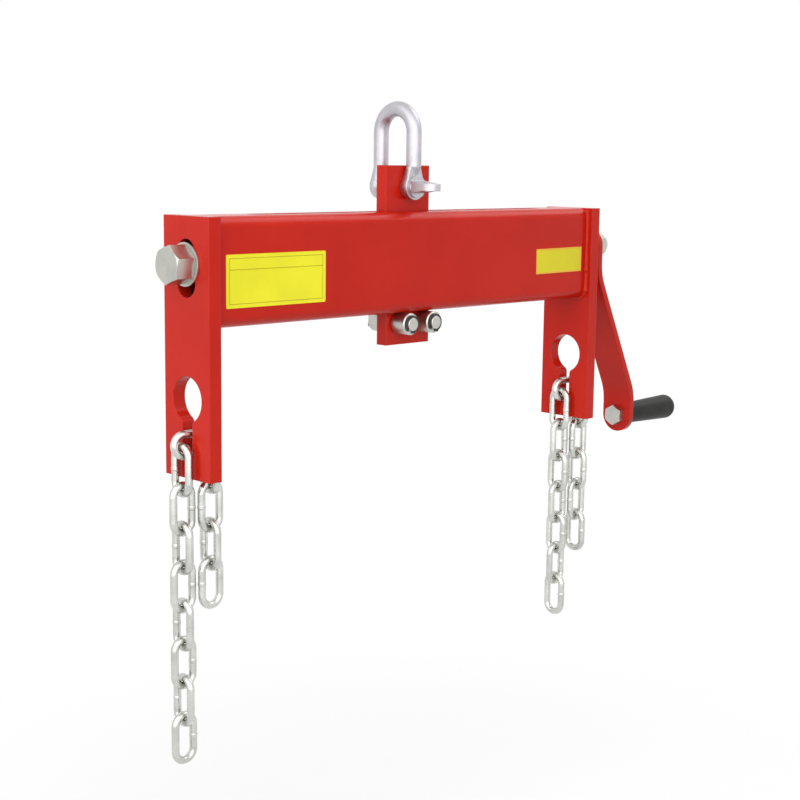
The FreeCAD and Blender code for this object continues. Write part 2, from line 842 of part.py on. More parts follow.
def make_trolley_plates():
    half_width = "dim.hanger_width / 2"
    front = "dim.mid_y - dim.hanger_thick / 2"
    block_top = "dim.screw_z + dim.block_height / 2"
    block_bottom = "dim.screw_z - dim.block_height / 2"
    upper = box(
        "hanger_blank",
        "dim.hanger_width",
        "dim.hanger_thick",
        f"dim.hanger_top - ({block_top})",
        x=f"-{half_width}",
        y=front,
        z=block_top,
    )
    eye = rod(
        "hanger_eye",
        "dim.pin_radius + dim.bore_gap",
        "dim.hanger_thick + 2 * dim.overrun",
        **across_beam("0", f"{front} - dim.overrun", "dim.pin_z"),
    )
    keep(cut("hanger_whole", upper, [eye]), "hanger_plate")
    lower = box(
        "roller_plate_blank",
        "dim.hanger_width",
        "dim.hanger_thick",
        f"{block_bottom} - dim.roller_plate_bottom",
        x=f"dim.roller_plate_shift - {half_width}",
        y=front,
        z="dim.roller_plate_bottom",
    )
    holes = [
        rod(
            f"roller_plate_hole_{name}",
            "dim.roller_pin_radius + dim.bore_gap",
            "dim.hanger_thick + 2 * dim.overrun",
            **across_beam(x, f"{front} - dim.overrun", "dim.roller_z"),
        )
        for name, x in ROLLER_COLUMNS.items()
    ]
    keep(cut("roller_plate_whole", lower, holes), "roller_plate")
    block = box(
        "block_blank",
        "dim.hanger_width",
        "dim.block_width",
        "dim.block_height",
        x=f"-{half_width}",
        y="dim.mid_y - dim.block_width / 2",
        z=block_bottom,
    )
    thread = rod(
        "block_thread",
        "dim.screw_radius + dim.bore_gap",
        "dim.hanger_width + 2 * dim.overrun",
        **on_screw(f"-{half_width} - dim.overrun"),
    )
    keep(cut("block_whole", block, [thread]), "threaded_block")


def make_block_welds():
    """Four triangular beads in the corners between the plates and the block."""
    beads = []
    for level, side_of_block in (("upper", 1), ("lower", -1)):
        for face, side_of_plate in (("front", -1), ("rear", 1)):
            bead = doc.addObject("Part::Wedge", f"{level}_{face}_bead")
            bind(
                bead,
                Xmin="0",
                Xmax="dim.hanger_width",
                Ymin="0",
                Ymax="dim.block_weld_leg",
                Zmin="0",
                Zmax="dim.block_weld_leg",
                X2min="0",
                X2max="dim.hanger_width",
                Z2min="0",
                Z2max="dim.block_weld_leg * dim.block_weld_tip_share",
            )
            quarter = {(1, 1): 0, (1, -1): 90, (-1, -1): 180, (-1, 1): 270}
            turn = FreeCAD.Rotation(
                FreeCAD.Vector(1, 0, 0), quarter[(side_of_block, side_of_plate)]
            )
            put(
                bead,
                x="-dim.hanger_width / 2",
                y=f"dim.mid_y + {side_of_plate} * dim.hanger_thick / 2",
                z=f"dim.screw_z + {side_of_block} * dim.block_height / 2",
                turn=turn,
            )
            beads.append(bead)
    keep(join("block_welds_whole", beads), "block_welds")


ROLLER_COLUMNS = {
    "left": "dim.roller_shift - dim.roller_spacing / 2",
    "right": "dim.roller_shift + dim.roller_spacing / 2",
}


def make_roller(row, column):
    """A plain roller with its edges broken, on one side of the roller plate."""
    x = ROLLER_COLUMNS[column]
    label = f"{row}_{column}_roller"
    if row == "front":
        start = "dim.mid_y - dim.roller_near - dim.roller_length"
    else:
        start = "dim.mid_y + dim.roller_near"
    edge_radius = "dim.roller_radius - dim.roller_edge"
    barrel = rod(
        f"{label}_barrel",
        "dim.roller_radius",
        "dim.roller_length - 2 * dim.roller_edge",
        **across_beam(x, f"{start} + dim.roller_edge", "dim.roller_z"),
    )
    near_edge = cone(
        f"{label}_near_edge",
        edge_radius,
        "dim.roller_radius",
        "dim.roller_edge",
        **across_beam(x, start, "dim.roller_z"),
    )
    far_edge = cone(
        f"{label}_far_edge",
        "dim.roller_radius",
        edge_radius,
        "dim.roller_edge",
        **across_beam(x, f"{start} + dim.roller_length - dim.roller_edge", "dim.roller_z"),
    )
    bore = rod(
        f"{label}_bore",
        "dim.roller_pin_radius + dim.bore_gap",
        "dim.roller_length + 2 * dim.overrun",
        **across_beam(x, f"{start} - dim.overrun", "dim.roller_z"),
    )
    solid = join(f"{label}_solid", [barrel, near_edge, far_edge])
    keep(cut(f"{label}_whole", solid, [bore]), label)


def make_roller_pins():
    """Two pins through the roller plate, each with a groove for a clip near both ends."""
    pieces = []
    for column, x in ROLLER_COLUMNS.items():
        groove = "dim.mid_y - dim.roller_far - dim.clip_thick"
        shoulder = f"{groove} - dim.roller_pin_end + dim.roller_pin_bevel"
        half = "(dim.roller_far + dim.clip_thick + dim.roller_pin_end)"
        bevel_radius = "dim.roller_pin_radius - dim.roller_pin_bevel"
        pieces.append(
            rod(
                f"{column}_pin_core",
                "dim.roller_pin_radius - dim.clip_groove",
                "2 * (dim.roller_far + dim.clip_thick)",
                **across_beam(x, groove, "dim.roller_z"),
            )
        )
        pieces.append(
            rod(
                f"{column}_pin_middle",
                "dim.roller_pin_radius",
                "2 * dim.roller_far",
                **across_beam(x, "dim.mid_y - dim.roller_far", "dim.roller_z"),
            )
        )
        for end, start in (("front", shoulder), ("rear", "dim.mid_y + dim.roller_far + dim.clip_thick")):
            pieces.append(
                rod(
                    f"{column}_{end}_pin_end",
                    "dim.roller_pin_radius",
                    "dim.roller_pin_end - dim.roller_pin_bevel",
                    **across_beam(x, start, "dim.roller_z"),
                )
            )
        pieces.append(
            cone(
                f"{column}_front_pin_bevel",
                bevel_radius,
                "dim.roller_pin_radius",
                "dim.roller_pin_bevel",
                **across_beam(x, f"dim.mid_y - {half}", "dim.roller_z"),
            )
        )
        pieces.append(
            cone(
                f"{column}_rear_pin_bevel",
                "dim.roller_pin_radius",
                bevel_radius,
                "dim.roller_pin_bevel",
                **across_beam(x, f"dim.mid_y + {half} - dim.roller_pin_bevel", "dim.roller_z"),
            )
        )
    keep(join("roller_pins_whole", pieces), "roller_pins")


def make_clip(name, x, y, turn):
    """A spring ring, open at one side, with a holed lug at each end of the opening."""
    angle = f"dim.{turn}"
    aside = "(dim.clip_mouth / 2 + dim.clip_lug_radius)"
    outward = f"sqrt((dim.clip_radius - dim.clip_lug_radius / 2)^2 - {aside}^2)"
    disc = rod(f"{name}_disc", "dim.clip_radius", "dim.clip_thick", **across_beam(x, y, "dim.roller_z"))
    lugs = []
    tools = [
        rod(
            f"{name}_bore",
            "dim.roller_pin_radius - dim.clip_groove + dim.bore_gap / 2",
            "dim.clip_thick + 2 * dim.overrun",
            **across_beam(x, f"{y} - dim.overrun", "dim.roller_z"),
        )
    ]
    for side, sign in (("first", "-"), ("second", "+")):
        place = across_beam(
            f"{x} {sign} {aside} * cos({angle}) + {outward} * sin({angle})",
            y,
            f"dim.roller_z {sign} {aside} * sin({angle}) - {outward} * cos({angle})",
        )
        lugs.append(rod(f"{name}_{side}_lug", "dim.clip_lug_radius", "dim.clip_thick", **place))
        hole = dict(place, y=f"{y} - dim.overrun")
        tools.append(
            rod(f"{name}_{side}_eye", "dim.clip_lug_hole", "dim.clip_thick + 2 * dim.overrun", **hole)
        )
    mouth = box(
        f"{name}_mouth",
        "dim.clip_mouth",
        "dim.clip_thick + 2 * dim.overrun",
        "dim.clip_radius + dim.overrun",
        x=f"{x} - dim.clip_mouth / 2 * cos({angle}) + (dim.clip_radius + dim.overrun) * sin({angle})",
        y=f"{y} - dim.overrun",
        z=f"dim.roller_z - dim.clip_mouth / 2 * sin({angle})"
        f" - (dim.clip_radius + dim.overrun) * cos({angle})",
        turn=FreeCAD.Rotation(FreeCAD.Vector(0, -1, 0), SIZES[turn]),
    )
    return cut(f"{name}_ring", join(f"{name}_blank", [disc, *lugs]), [*tools, mouth])


def make_roller_clips():
    """A spring clip outside each roller."""
    clips = []
    for column, x in ROLLER_COLUMNS.items():
        front = "dim.mid_y - dim.roller_far - dim.clip_thick"
        clips.append(make_clip(f"front_{column}_clip", x, front, "front_clip_turn"))
        rear = "dim.mid_y + dim.roller_far"
        clips.append(make_clip(f"rear_{column}_clip", x, rear, "rear_clip_turn"))
    keep(join("roller_clips_whole", clips), "roller_clips")


def make_shackle_bow():
    """A round bar bent to a U, forged flat into an ear at each end."""
    crown = doc.addObject("Part::Torus", "bow_crown")
    crown.Angle3 = 180
    bind(crown, Radius1="dim.bow_radius", Radius2="dim.bow_wire_radius")
    crown_turn = FreeCAD.Rotation(FreeCAD.Vector(0, 0, 1), 90) * FreeCAD.Rotation(
        FreeCAD.Vector(1, 0, 0), 90
    )
    put(crown, z="-dim.jaw_gap / 2", turn=crown_turn)
    pieces = [crown]
    holes = []
    neck_top = "dim.pin_z + dim.ear_neck"
    neck_bottom = "dim.pin_collar_radius + dim.running_gap"
    for name, side in (("front", -1), ("rear", 1)):
        leg_y = f"{side} * dim.bow_radius"
        inner = "-dim.ear_face" if side < 0 else "dim.jaw_gap / 2"
        pieces.append(
            rod(
                f"bow_{name}_leg",
                "dim.bow_wire_radius",
                f"-dim.jaw_gap / 2 - ({neck_top})",
                y=leg_y,
                z=neck_top,
            )
        )
        pieces.append(
            cone(
                f"bow_{name}_neck",
                "dim.ear_face - dim.bow_radius",
                "dim.bow_wire_radius",
                f"dim.ear_neck - ({neck_bottom})",
                y=leg_y,
                z=f"dim.pin_z + {neck_bottom}",
            )
        )
        flare = cone(
            f"bow_{name}_flare",
            "dim.ear_radius",
            "dim.bow_wire_radius",
            "dim.ear_neck",
            y=leg_y,
            z="dim.pin_z",
        )
        knob = doc.addObject("Part::Sphere", f"bow_{name}_knob")
        bind(knob, Radius="dim.ear_radius")
        put(knob, y=leg_y, z="dim.pin_z")
        slab = box(
            f"bow_{name}_slab",
            "2 * dim.ear_radius",
            "dim.ear_thick",
            "dim.ear_radius + dim.ear_neck",
            x="-dim.ear_radius",
            y=inner,
            z="dim.pin_z - dim.ear_radius",
        )
        ear = doc.addObject("Part::Common", f"bow_{name}_ear")
        ear.Base = join(f"bow_{name}_end", [flare, knob])
        ear.Tool = slab
        pieces.append(ear)
        holes.append(
            rod(
                f"bow_{name}_hole",
                "dim.pin_radius + dim.bore_gap / 2",
                "dim.ear_thick + 2 * dim.overrun",
                **across_beam("0", f"{inner} - dim.overrun", "dim.pin_z"),
            )
        )
    solid = join("bow_solid", pieces)
    keep(cut("bow_whole", solid, holes), "shackle_bow")


def make_shackle_pin():
    """A screw pin with a collar and, in front, a tapered tab with an eye."""
    collar_y = "-dim.ear_face - dim.pin_collar_thick"
    shank = rod(
        "pin_shank",
        "dim.pin_radius",
        "2 * dim.ear_face + dim.pin_tail",
        **across_beam("0", "-dim.ear_face", "dim.pin_z"),
    )
    collar = rod(
        "pin_collar",
        "dim.pin_collar_radius",
        "dim.pin_collar_thick",
        **across_beam("0", collar_y, "dim.pin_z"),
    )
    tip_bottom = "dim.pin_z - dim.pin_tab_tip / 2"
    round_y = f"{collar_y} - dim.pin_tab_length + dim.pin_tab_width / 2"
    tab = doc.addObject("Part::Wedge", "pin_tab")
    bind(
        tab,
        Xmin="-dim.pin_tab_width / 2",
        Xmax="dim.pin_tab_width / 2",
        Ymin="0",
        Ymax=f"{collar_y} - ({round_y})",
        Zmin="-dim.pin_tab_tip / 2",
        Zmax="dim.pin_tab_tip / 2",
        X2min="-dim.pin_tab_width / 2",
        X2max="dim.pin_tab_width / 2",
        Z2min="-dim.pin_tab_thick / 2",
        Z2max="dim.pin_tab_thick / 2",
    )
    put(tab, y=round_y, z="dim.pin_z")
    tab_end = rod("pin_tab_end", "dim.pin_tab_width / 2", "dim.pin_tab_tip", y=round_y, z=tip_bottom)
    eye = rod(
        "pin_eye",
        "dim.pin_eye_radius",
        "dim.pin_tab_thick + 2 * dim.overrun",
        y=round_y,
        z=f"dim.pin_z - dim.pin_tab_thick / 2 - dim.overrun",
    )
    solid = join("pin_solid", [shank, collar, tab, tab_end])
    keep(cut("pin_whole", solid, [eye]), "shackle_pin")


def make_link(label, x, y, z, yaw, level=False):
    """A link of round wire: two half rings and two straight sides, upright or lying level."""
    half = "dim.link_straight / 2"
    tip_turn = FreeCAD.Rotation(FreeCAD.Vector(1, 0, 0), 90)
    quarter = FreeCAD.Rotation(FreeCAD.Vector(0, 1, 0), 90 if level else 0)
    pieces = []
    for name, side in (("upper", 1), ("lower", -1)):
        ring = doc.addObject("Part::Torus", f"{label}_{name}_ring")
        ring.Angle3 = 180
        bind(ring, Radius1="dim.link_bow_radius", Radius2="dim.link_wire_radius")
        flip = FreeCAD.Rotation(FreeCAD.Vector(0, 1, 0), 0 if side > 0 else 180)
        along = f"{side} * {half}"
        spot = {"x": along} if level else {"z": along}
        put(ring, turn=quarter * flip * tip_turn, **spot)
        pieces.append(ring)
    for name, side in (("left", -1), ("right", 1)):
        aside = f"{side} * dim.link_bow_radius"
        spot = {"x": f"-{half}", "z": aside} if level else {"x": aside, "z": f"-{half}"}
        pieces.append(
            rod(
                f"{label}_{name}_side",
                "dim.link_wire_radius",
                "dim.link_straight",
                turn=ALONG_X if level else UPRIGHT,
                **spot,
            )
        )
    link = join(f"{label}_whole", pieces)
    # The quarter turn only sets the axis: the angle is bound to the yaw
    put(link, x=x, y=y, z=z, turn=FreeCAD.Rotation(FreeCAD.Vector(0, 0, 1), 90))
    link.setExpression("Placement.Rotation.Angle", yaw)
    keep(link, label)


def make_strand(plate, strand, slot_x, side, count):
    """Links that hang from the slot link, each turned a quarter against the one above it."""
    x = f"{slot_x} + {side} * dim.strand_reach * cos(dim.slot_link_yaw)"
    y = f"dim.slot_link_y + {side} * dim.strand_reach * sin(dim.slot_link_yaw)"
    for index in range(count):
        make_link(
            f"{plate}_{strand}_link_{index + 1}",
            x,
            y,
            f"dim.first_link_z - {index} * dim.link_pitch",
            "0" if index % 2 else "90",
        )


def make_chain(plate, plate_x, inward, outer_count, inner_count):
    slot_x = f"{plate_x} + dim.slot_link_shift"
    make_link(
        f"{plate}_slot_link",
        slot_x,
        "dim.slot_link_y",
        "dim.slot_link_z",
        "dim.slot_link_yaw",
        level=True,
    )
    make_strand(plate, "outer", slot_x, -inward, outer_count)
    make_strand(plate, "inner", slot_x, inward, inner_count)


def failed_objects():
    bad = [item.Name for item in doc.Objects if {"Invalid", "Error"} & set(item.State)]
    for node in nodes:
        if node.Shape.isNull() or not node.Shape.isValid() or not node.Shape.Solids:
            bad.append(node.Label)
    return bad


fill_sheet()
make_beam_tube()
make_end_plate("left", "dim.left_face")
make_end_plate("right", "dim.right_face - dim.plate_thick")
make_weld("left", "dim.left_face + dim.plate_thick", 1)
make_weld("right", "dim.right_face - dim.plate_thick", -1)
make_labels()
make_lead_screw()
make_screw_fittings()
make_crank_arm()
make_grip()
make_trolley_plates()
make_block_welds()
for row in ("front", "rear"):
    for column in ROLLER_COLUMNS:
        make_roller(row, column)
make_roller_pins()
make_roller_clips()
make_shackle_bow()
make_shackle_pin()
make_chain(
    "left", "dim.left_face + dim.plate_thick / 2", 1, LEFT_OUTER_LINKS, LEFT_INNER_LINKS
)
make_chain(
    "right", "dim.right_face - dim.plate_thick / 2", -1, RIGHT_OUTER_LINKS, RIGHT_INNER_LINKS
)

doc.recompute()
problems = failed_objects()
if problems:
    raise RuntimeError(f"failed: {problems}")

os.makedirs("parts", exist_ok=True)
for node in nodes:
    node.Shape.exportStep(f"parts/{node.Label}.step")
print(f"{len(nodes)} nodes written")
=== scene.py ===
import json
import math

import bpy
from mathutils import Matrix, Vector


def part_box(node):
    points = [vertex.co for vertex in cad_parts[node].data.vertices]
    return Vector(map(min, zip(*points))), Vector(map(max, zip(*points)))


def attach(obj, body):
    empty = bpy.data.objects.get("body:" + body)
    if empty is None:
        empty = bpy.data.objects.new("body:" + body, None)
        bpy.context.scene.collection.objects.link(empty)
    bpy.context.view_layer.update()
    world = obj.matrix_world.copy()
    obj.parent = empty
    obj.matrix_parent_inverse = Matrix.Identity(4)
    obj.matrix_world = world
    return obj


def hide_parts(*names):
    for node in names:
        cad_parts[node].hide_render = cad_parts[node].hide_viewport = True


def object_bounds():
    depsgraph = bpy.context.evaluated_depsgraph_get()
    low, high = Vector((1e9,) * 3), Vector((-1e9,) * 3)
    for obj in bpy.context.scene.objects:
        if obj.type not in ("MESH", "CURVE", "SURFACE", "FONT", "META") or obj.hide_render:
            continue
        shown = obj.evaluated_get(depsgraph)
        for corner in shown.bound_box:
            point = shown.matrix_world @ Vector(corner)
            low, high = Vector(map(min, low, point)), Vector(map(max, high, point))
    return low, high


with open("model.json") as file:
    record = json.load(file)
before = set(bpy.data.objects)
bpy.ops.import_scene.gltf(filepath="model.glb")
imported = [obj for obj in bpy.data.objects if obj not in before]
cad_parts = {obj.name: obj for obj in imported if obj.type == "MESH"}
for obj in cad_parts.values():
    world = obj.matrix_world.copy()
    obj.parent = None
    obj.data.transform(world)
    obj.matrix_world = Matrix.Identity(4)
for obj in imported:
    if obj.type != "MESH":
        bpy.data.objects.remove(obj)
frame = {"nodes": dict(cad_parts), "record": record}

# Looks of the engine load leveler: paint, zinc, plastic and stickers, rippled weld beads, the
# seams of the chain links, and a plain studio. Lengths are in metres, in the model's own frame.

MM = 0.001
QUARTER = math.pi / 2
UP = Vector((0, 0, 1))
CAD_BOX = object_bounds()
NODES = frame["nodes"]
LINKS = [node for node in NODES if "_link" in node]
ROLLERS = [node for node in NODES if node.endswith("_roller")]
BODIES = frame["record"]["behaviour"]["bodies"]
BODY_OF = {node: body for body, names in BODIES.items() for node in names}
JOINTS = {joint["name"]: joint for joint in frame["record"]["behaviour"]["joints"]}

# Colours, linear
RED = (0.60, 0.016, 0.005)
RED_DEEP = (0.53, 0.011, 0.003)
RED_EDGE = (0.69, 0.042, 0.022)
ZINC = (0.58, 0.57, 0.52)
ZINC_COOL = (0.49, 0.49, 0.46)
ZINC_DARK = (0.26, 0.26, 0.24)
FORGED = (0.50, 0.49, 0.52)
FORGED_PALE = (0.59, 0.58, 0.61)
CHAIN = (0.52, 0.53, 0.50)
CHAIN_PALE = (0.68, 0.68, 0.65)
BLACK = (0.016, 0.016, 0.015)
BLACK_WORN = (0.030, 0.030, 0.028)
OXIDE = (0.030, 0.036, 0.034)
OXIDE_WORN = (0.085, 0.092, 0.088)
YELLOW = (0.94, 0.88, 0.032)
# painted shade: the same yellow vinyl, darker, for the right sticker where less light falls
YELLOW_SHADED = (0.78, 0.69, 0.026)
YELLOW_RIM = (0.90, 0.52, 0.06)
YELLOW_LINE = (0.42, 0.36, 0.012)
FLOOR_WHITE = (0.92, 0.92, 0.92)
FLOOR_DIM = (0.42, 0.42, 0.42)
BACKGROUND = (1.0, 1.0, 1.0)
MASK_OFF = (0.0, 0.0, 0.0)
MASK_ON = (1.0, 1.0, 1.0)

# Finishes
WEAR_REACH = 1.6  # wear reaches this many edge radii from an edge
PAINT_WEAR = 2.2
PAINT_WEAR_MOST = 0.85
PAINT_SPECULAR = 0.2
OXIDE_WEAR = 1.6
OXIDE_WEAR_MOST = 0.8
OXIDE_METALLIC = 0.6
SCUFF_SHARE = 0.25
THREAD_ROOT_SHADE = 0.75  # how dark the painted shade in the root of a thread gets
THREAD_BUMP = 0.4  # depth of the bump in pitches
PLASTIC_SPECULAR = 0.2
FILM_SPECULAR = 0.25
FILM_SHADE = 0.93
BEVEL_SAMPLES = 6
MIX_FIRST, MIX_SECOND, MIX_RESULT = 6, 7, 2  # colour sockets of a Mix node

# Sizes of the solids that the looks repeat
THREAD_PITCH = 2.0 * MM
WIRE_RADIUS = 2.75 * MM
LINK_SIDE = 7.75 * MM  # from a link's middle to the middle of its side

# Weld beads: parts of the weld's leg, if no length is given
BEAD_SIZE = 0.46
BEAD_RIPPLE = 0.05
BEAD_WANDER = 0.05
BEAD_BLOB = 0.34
BLOB_REACH = 0.4
RIPPLE_LENGTH = 0.6
WANDER_RATES = (0.9, 0.37)
WANDER_PHASE = 1.0
BEAD_STEPS = 6  # steps along the bead in one leg
BEAD_SECTION = 7  # points across the bead's face
BEAD_FACE = 1.25  # 1 is a round face, 2 a flat one
BEAD_FADE = 5  # steps in which an end runs out
LEAST_STRAIGHT, LEAST_BEND = 2, 4  # fewest steps of a run and of a corner
UPPER_SWEEP = math.radians(55)  # how far a bead goes round the tube's upper corners
LEFT_BLOBS = (26 * MM, 49 * MM)  # along the bead, from its end in front
RIGHT_BLOBS = (3 * MM, 52 * MM, 69 * MM)

# Stickers: bands are (share of the height, index of the fill), from the edge inwards
LEFT_BANDS = ((0.070, 0), (0.012, 1))
LEFT_HEADER = 0.28
RIGHT_BANDS = ((0.07, 1),)
RIGHT_TILT = math.radians(0.5)
CORNER_RADIUS = 0.03  # share of the height
LEAST_RADIUS = 0.2  # of the inner bands, as a share of the corner's
CORNER_POINTS = 4
CORNERS = ((1, 1, 0), (-1, 1, 90), (-1, -1, 180), (1, -1, 270))  # x side, z side, degrees
RULE_THICK = 0.04 * MM
BOX_FACES = (
    (0, 2, 3, 1), (0, 1, 5, 4), (2, 6, 7, 3),
    (0, 4, 6, 2), (1, 3, 7, 5), (4, 5, 7, 6),
)

# Butt welds of the links
SEAM_HALF = 1.7 * MM
SEAM_RISE = 0.26 * MM
SEAM_CLEARANCE = 0.02 * MM
SEAM_FULLNESS = 0.6
SEAM_NOTCH = 0.35
SEAM_NOTCH_WIDTH = 0.22
SEAM_STEPS = 12
SEAM_SEGMENTS = 20

# Studio: lights are (name, place from the object's middle, size, watts)
LIGHTS = (
    ("key", (-1.7, -0.55, 0.75), 3.0, 27.0),
    ("front_fill", (-0.7, -1.7, 0.4), 2.2, 16.0),
    ("overhead", (1.0, -0.4, 1.25), 1.0, 5.5),
)
FLOOR_HALF = 12.0
FLOOR_DROP = 0.16  # below the object
FLOOR_ROUGHNESS = 0.9
FLOOR_FADE = (0.15, 0.6)  # from the object's middle
WORLD_FACING = (-0.42, 0.62, 0.66)
WORLD_SPAN = (-0.8, 0.7)
WORLD_LIGHT = (0.16, 0.85)
BACKGROUND_STRENGTH = 1.0


class Shader:
    """A material's node tree with a Principled shader, built by short calls."""

    def __init__(self, name):
        self.material = bpy.data.materials.new(name)
        self.material.use_nodes = True
        self.tree = self.material.node_tree
        self.shader = self.tree.nodes["Principled BSDF"]
        self.coords = self.node("ShaderNodeTexCoord").outputs["Object"]

    def node(self, kind, **settings):
        made = self.tree.nodes.new(kind)
        for key, value in settings.items():
            setattr(made, key, value)
        return made

    def link(self, source, target):
        self.tree.links.new(source, target)

    def set(self, **values):
        """Set the shader's own sockets, whose names are written with underscores here."""
        for key, value in values.items():
            self.shader.inputs[key.replace("_", " ")].default_value = value

    def noise(self, scale, detail=3.0, rough=0.55, stretch=None):
        texture = self.node("ShaderNodeTexNoise")
        texture.inputs["Scale"].default_value = scale
        texture.inputs["Detail"].default_value = detail
        texture.inputs["Roughness"].default_value = rough
        source = self.coords
        if stretch:
            mapping = self.node("ShaderNodeMapping")
            mapping.inputs["Scale"].default_value = stretch
            self.link(source, mapping.inputs["Vector"])
            source = mapping.outputs["Vector"]
        self.link(source, texture.inputs["Vector"])
        return texture.outputs["Fac"]

    def ramp(self, source, stops):
        """Map a 0 to 1 value through (position, colour) stops."""
        ramp = self.node("ShaderNodeValToRGB")
        elements = ramp.color_ramp.elements
        for element, (position, colour) in zip(elements, stops):
            element.position = position
            element.color = (*colour, 1.0)
        self.link(source, ramp.inputs["Fac"])
        return ramp.outputs["Color"]

    def spread(self, source, low, high):
        """Map a 0 to 1 value to a range."""
        span = self.node("ShaderNodeMapRange")
        span.inputs["To Min"].default_value = low
        span.inputs["To Max"].default_value = high
        self.link(source, span.inputs["Value"])
        return span.outputs["Result"]

    def mix(self, factor, first, second):
        """Blend two colours, of which the first is a socket and the second a constant."""
        blend = self.node("ShaderNodeMix", data_type="RGBA")
        self.link(factor, blend.inputs["Factor"])
        self.link(first, blend.inputs[MIX_FIRST])
        blend.inputs[MIX_SECOND].default_value = (*second, 1.0)
        return blend.outputs[MIX_RESULT]

    def math(self, operation, first, second):
        node = self.node("ShaderNodeMath", operation=operation)
        for value, socket in zip((first, second), node.inputs):
            if isinstance(value, (int, float)):
                socket.default_value = value
            else:
                self.link(value, socket)
        return node.outputs[0]

    def rounded_edges(self, radius):
        bevel = self.node("ShaderNodeBevel", samples=BEVEL_SAMPLES)
        bevel.inputs["Radius"].default_value = radius
        return bevel.outputs["Normal"]

    def edge_mask(self, radius):
        """About 1 along sharp edges and 0 on flat faces."""
        soft = self.rounded_edges(radius)
        true_normal = self.node("ShaderNodeNewGeometry").outputs["True Normal"]
        dot = self.node("ShaderNodeVectorMath", operation="DOT_PRODUCT")
        self.link(soft, dot.inputs[0])
        self.link(true_normal, dot.inputs[1])
        return self.math("SUBTRACT", 1.0, dot.outputs["Value"])

    def bump(self, height, strength, distance, normal=None):
        bump = self.node("ShaderNodeBump")
        bump.inputs["Strength"].default_value = strength
        bump.inputs["Distance"].default_value = distance
        self.link(height, bump.inputs["Height"])
        if normal is not None:
            self.link(normal, bump.inputs["Normal"])
        return bump.outputs["Normal"]

    def finish(self, colour, roughness, normal):
        self.link(colour, self.shader.inputs["Base Color"])
        self.link(roughness, self.shader.inputs["Roughness"])
        self.link(normal, self.shader.inputs["Normal"])
        return self.material


def red_paint(name, edge_radius, sheared=0.0):
    """Gloss enamel, thin and paler along the edges, uneven where the bar below was sheared."""
    s = Shader(name)
    cloud = s.noise(scale=14.0, detail=4.0)
    body = s.ramp(cloud, [(0.30, RED_DEEP), (0.70, RED)])
    grain = s.noise(scale=420.0, detail=2.0)
    edges = s.math("MULTIPLY", s.edge_mask(edge_radius * WEAR_REACH), PAINT_WEAR)
    worn = s.math("MULTIPLY", edges, s.spread(grain, low=0.3, high=1.0))
    colour = s.mix(s.math("MINIMUM", worn, PAINT_WEAR_MOST), body, RED_EDGE)
    roughness = s.spread(s.noise(scale=60.0), low=0.15, high=0.28)
    normal = s.rounded_edges(edge_radius)
    if sheared:
        marks = s.noise(scale=160.0, stretch=(1.0, 1.0, 3.0))
        normal = s.bump(marks, strength=sheared, distance=0.6 * MM, normal=normal)
    s.set(Specular_IOR_Level=PAINT_SPECULAR)
    return s.finish(colour, roughness, normal)


def zinc(name, edge_radius, tones=(ZINC_COOL, ZINC), rough=(0.30, 0.44), grain=0.08):
    """Bright zinc plating, a little clouded, darker where it is scuffed."""
    s = Shader(name)
    cloud = s.noise(scale=70.0, detail=4.0)
    body = s.ramp(cloud, [(0.32, tones[0]), (0.68, tones[1])])
    marks = s.noise(scale=330.0, detail=5.0, rough=0.7)
    scuffs = s.ramp(marks, [(0.58, MASK_OFF), (0.72, MASK_ON)])
    colour = s.mix(s.math("MULTIPLY", scuffs, SCUFF_SHARE), body, ZINC_DARK)
    roughness = s.spread(s.noise(scale=150.0), *rough)
    pits = s.noise(scale=900.0, detail=2.0)
    edges = s.rounded_edges(edge_radius)
    normal = s.bump(pits, strength=grain, distance=0.15 * MM, normal=edges)
    s.set(Metallic=1.0)
    return s.finish(colour, roughness, normal)


def threaded_zinc(name, edge_radius, centre, start, end):
    """Zinc with a helical thread along X from start to end, about a centre given as (y, z), its
    roots darkened as painted shade.
    """
    s = Shader(name)
    split = s.node("ShaderNodeSeparateXYZ")
    s.link(s.coords, split.inputs["Vector"])
    x = split.outputs["X"]
    y, z = (s.math("SUBTRACT", split.outputs[axis], at) for axis, at in zip("YZ", centre))
    turn = s.math("DIVIDE", s.math("ARCTAN2", z, y), 2 * math.pi)
    along = s.math("DIVIDE", x, THREAD_PITCH)
    wave = s.math("PINGPONG", s.math("ADD", along, turn), 0.5)
    flank = s.math("MULTIPLY", wave, 2.0)
    mask = s.math("MULTIPLY", s.math("GREATER_THAN", x, start), s.math("LESS_THAN", x, end))
    cloud = s.noise(scale=70.0, detail=4.0)
    body = s.ramp(cloud, [(0.32, ZINC_COOL), (0.68, ZINC)])
    # painted shade: the thread's roots are darkened towards ZINC_DARK
    shade = s.math("MULTIPLY", mask, THREAD_ROOT_SHADE)
    root = s.math("MULTIPLY", s.math("SUBTRACT", 1.0, flank), shade)
    colour = s.mix(root, body, ZINC_DARK)
    roughness = s.spread(s.noise(scale=150.0), low=0.26, high=0.42)
    groove = s.math("MULTIPLY", flank, mask)
    edges = s.rounded_edges(edge_radius)
    normal = s.bump(groove, strength=0.9, distance=THREAD_PITCH * THREAD_BUMP, normal=edges)
    s.set(Metallic=1.0)
    return s.finish(colour, roughness, normal)


